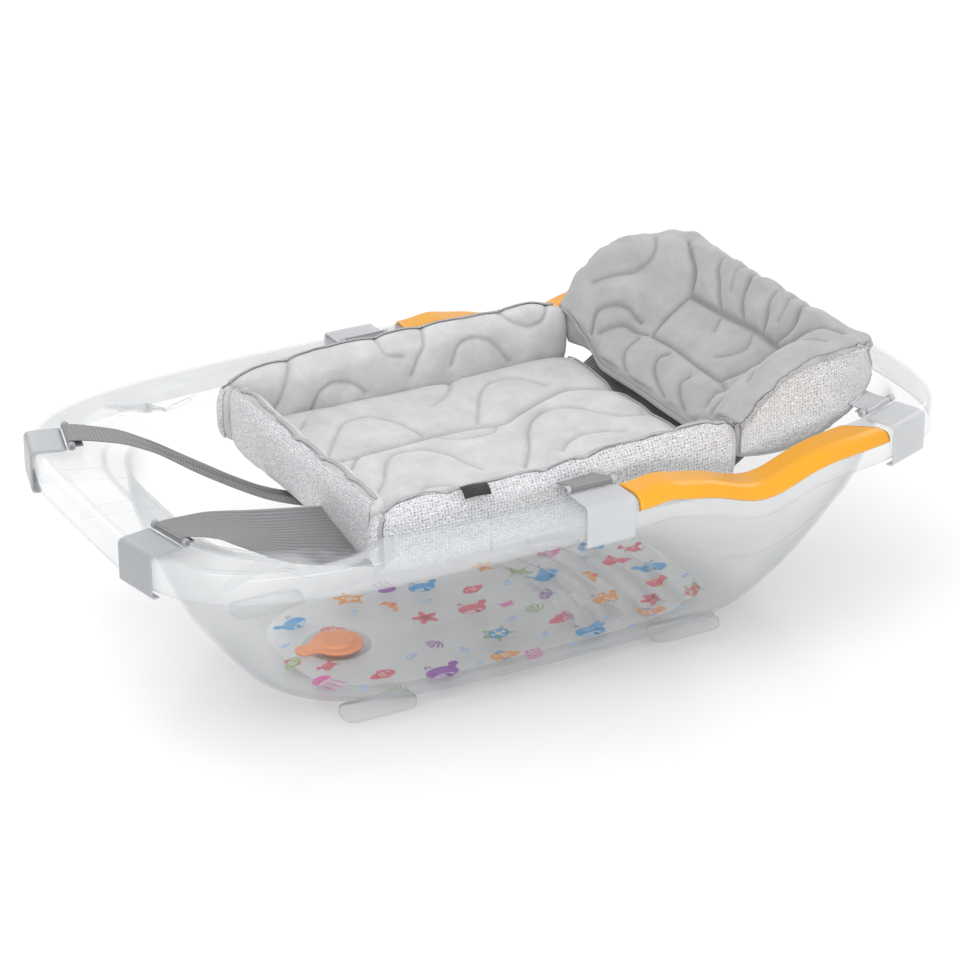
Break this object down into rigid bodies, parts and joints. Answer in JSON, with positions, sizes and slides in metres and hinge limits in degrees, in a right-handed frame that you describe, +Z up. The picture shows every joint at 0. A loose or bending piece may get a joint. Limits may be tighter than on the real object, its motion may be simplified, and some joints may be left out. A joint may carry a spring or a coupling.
{
  "type": "baby bathtub",
  "caption": "Clear moulded baby bath with a wavy rim, hand grips, a drain plug and a padded bath seat and headrest clipped to the rim.",
  "frame": {"origin": "middle of the footprint, on the surface that the foot pads stand on", "axes": "+X towards the headrest end, +Y across the tub, +Z up"},
  "size_m": [0.8653, 0.4968, 0.302],
  "materials": {
    "clear_tub": "clear moulded plastic",
    "printed_film": "clear film with printed sea animals",
    "peach_rubber": "soft moulded stopper",
    "amber_grip": "satin moulded grip",
    "smoke_clip": "smoky grey moulded clip",
    "silver_clip": "silver-grey moulded clip",
    "dark_webbing": "mesh webbing",
    "light_webbing": "light mesh webbing",
    "plush": "quilted short-pile plush",
    "plush_shade": "quilted short-pile plush",
    "spacer_mesh": "glittering spacer mesh",
    "overlock_edge": "overlocked edging",
    "black_label": "woven blank label"
  },
  "bodies": {
    "tub": {"tub_shell": "clear_tub", "floor_decal": "printed_film", "grip_near": "amber_grip", "grip_far": "amber_grip", "strap_foot_near": "dark_webbing", "strap_foot_far": "dark_webbing", "strap_side_near": "dark_webbing", "strap_side_far": "dark_webbing", "strap_head_near": "light_webbing", "strap_head_far": "light_webbing", "mattress": "plush", "wall_near": "plush", "wall_far": "plush", "wall_foot": "plush", "mesh_near": "spacer_mesh", "mesh_far": "spacer_mesh", "mesh_foot": "spacer_mesh", "mesh_floor": "spacer_mesh", "headrest_base": "plush_shade", "headrest_back": "plush_shade", "wing_near": "plush_shade", "wing_far": "plush_shade", "wing_mesh_near": "spacer_mesh", "wing_mesh_far": "spacer_mesh", "mesh_back": "spacer_mesh", "mesh_head_floor": "spacer_mesh", "tray_binding": "overlock_edge", "headrest_binding": "overlock_edge", "care_label": "black_label"},
    "plug": {"drain_plug": "peach_rubber"},
    "clip_foot_near": {"clip_foot_near": "smoke_clip"},
    "clip_foot_far": {"clip_foot_far": "smoke_clip"},
    "clip_side_near": {"clip_side_near": "silver_clip"},
    "clip_side_far": {"clip_side_far": "silver_clip"},
    "clip_head_near": {"clip_head_near": "silver_clip"},
    "clip_head_far": {"clip_head_far": "silver_clip"}
  },
  "joints": [
    {"name": "plug_lift", "type": "slide", "parent": "tub", "child": "plug", "axis": [0, 0, 1], "range_m": [0, 0.06]},
    {"name": "clip_foot_near_open", "type": "hinge", "parent": "tub", "child": "clip_foot_near", "pos_m": [-0.38964, -0.11553, 0.2315], "axis": [-0.1765, 0.9843, 0], "range_deg": [0, 95]},
    {"name": "clip_foot_far_open", "type": "hinge", "parent": "tub", "child": "clip_foot_far", "pos_m": [-0.38697, 0.12756, 0.2315], "axis": [0.2629, 0.9648, 0], "range_deg": [0, 95]},
    {"name": "clip_side_near_open", "type": "hinge", "parent": "tub", "child": "clip_side_near", "pos_m": [-0.00511, -0.208, 0.2315], "axis": [-1, 0, 0], "range_deg": [0, 95]},
    {"name": "clip_side_far_open", "type": "hinge", "parent": "tub", "child": "clip_side_far", "pos_m": [-0.02823, 0.208, 0.2315], "axis": [1, 0.0001, 0], "range_deg": [0, 95]},
    {"name": "clip_head_near_open", "type": "hinge", "parent": "tub", "child": "clip_head_near", "pos_m": [0.33062, -0.18528, 0.2315], "axis": [-0.9331, -0.3595, 0], "range_deg": [0, 95]},
    {"name": "clip_head_far_open", "type": "hinge", "parent": "tub", "child": "clip_head_far", "pos_m": [0.33062, 0.18528, 0.2315], "axis": [0.9331, -0.3595, 0], "range_deg": [0, 95]}
  ]
}
